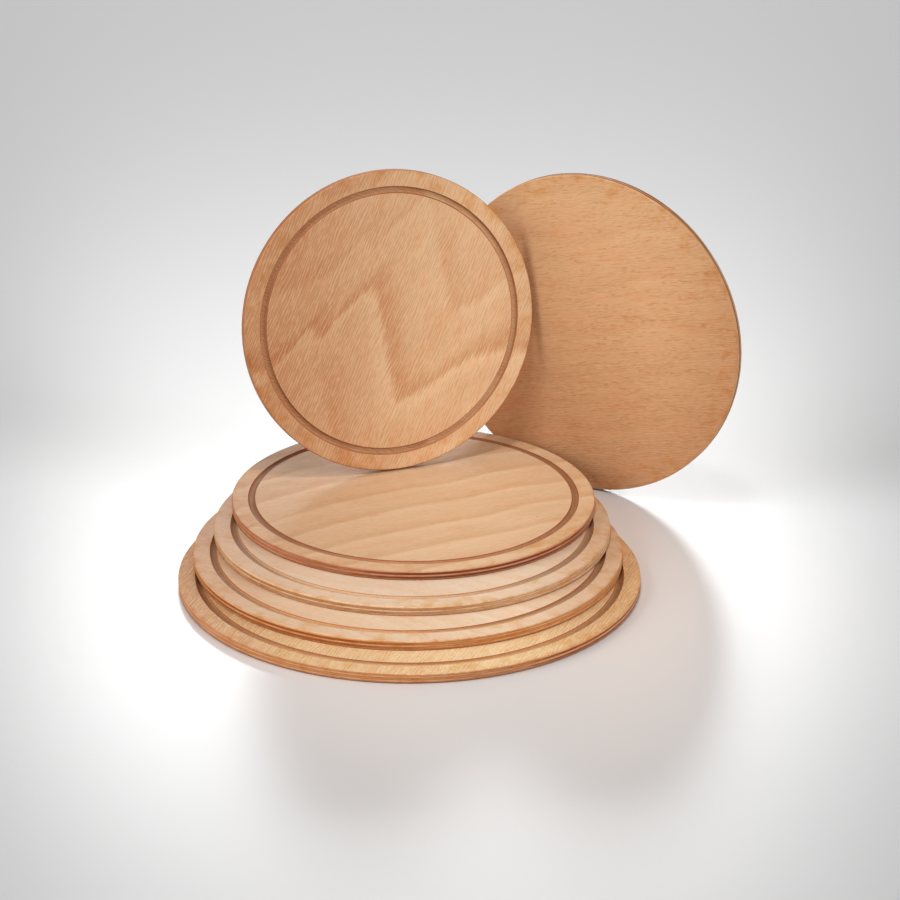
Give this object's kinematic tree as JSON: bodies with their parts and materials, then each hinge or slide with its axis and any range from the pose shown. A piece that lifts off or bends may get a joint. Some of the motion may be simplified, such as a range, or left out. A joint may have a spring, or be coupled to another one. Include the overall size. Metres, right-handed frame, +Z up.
{
  "type": "pizza serving board",
  "caption": "Nesting set of round beech plywood pizza serving boards with juice grooves: a flat stack, one board leaning on it and one standing behind.",
  "frame": {"origin": "centre of the bottom board's underside, on the table", "axes": "+Z up, square to the stacked boards; +X to the right and +Y to the back, as seen from the front, where the leaning board shows its face"},
  "size_m": [0.3952, 0.3873, 0.2466],
  "materials": {
    "beech_face": "sanded and oiled, satin",
    "beech_back": "sanded and oiled, satin",
    "beech_core": "turned edge, satin",
    "beech_crossband": "turned edge, satin"
  },
  "bodies": {
    "bottom_board": {"bottom_board_back_veneer": "beech_back", "bottom_board_lower_crossband": "beech_crossband", "bottom_board_core_veneer": "beech_core", "bottom_board_upper_crossband": "beech_crossband", "bottom_board_face_panel": "beech_face", "bottom_board_face_rim": "beech_face"},
    "second_board": {"second_board_back_veneer": "beech_back", "second_board_lower_crossband": "beech_crossband", "second_board_core_veneer": "beech_core", "second_board_upper_crossband": "beech_crossband", "second_board_face_panel": "beech_face", "second_board_face_rim": "beech_face"},
    "third_board": {"third_board_back_veneer": "beech_back", "third_board_lower_crossband": "beech_crossband", "third_board_core_veneer": "beech_core", "third_board_upper_crossband": "beech_crossband", "third_board_face_panel": "beech_face", "third_board_face_rim": "beech_face"},
    "top_board": {"top_board_back_veneer": "beech_back", "top_board_lower_crossband": "beech_crossband", "top_board_core_veneer": "beech_core", "top_board_upper_crossband": "beech_crossband", "top_board_face_panel": "beech_face", "top_board_face_rim": "beech_face"},
    "standing_board": {"standing_board_back_veneer": "beech_back", "standing_board_lower_crossband": "beech_crossband", "standing_board_core_veneer": "beech_core", "standing_board_upper_crossband": "beech_crossband", "standing_board_face_panel": "beech_face", "standing_board_face_rim": "beech_face"},
    "leaning_board": {"leaning_board_back_veneer": "beech_back", "leaning_board_lower_crossband": "beech_crossband", "leaning_board_core_veneer": "beech_core", "leaning_board_upper_crossband": "beech_crossband", "leaning_board_face_panel": "beech_face", "leaning_board_face_rim": "beech_face"}
  },
  "joints": [
    {"name": "second_board_lift", "type": "slide", "parent": "bottom_board", "child": "second_board", "axis": [0, 0, 1], "range_m": [0, 0.15]},
    {"name": "third_board_lift", "type": "slide", "parent": "second_board", "child": "third_board", "axis": [0, 0, 1], "range_m": [0, 0.15]},
    {"name": "top_board_lift", "type": "slide", "parent": "third_board", "child": "top_board", "axis": [0, 0, 1], "range_m": [0, 0.15]},
    {"name": "standing_board_lift", "type": "slide", "parent": "bottom_board", "child": "standing_board", "axis": [0.0083, 0.0153, 0.9998], "range_m": [0, 0.15]},
    {"name": "leaning_board_lift", "type": "slide", "parent": "top_board", "child": "leaning_board", "axis": [0, 0, 1], "range_m": [0, 0.15]}
  ]
}
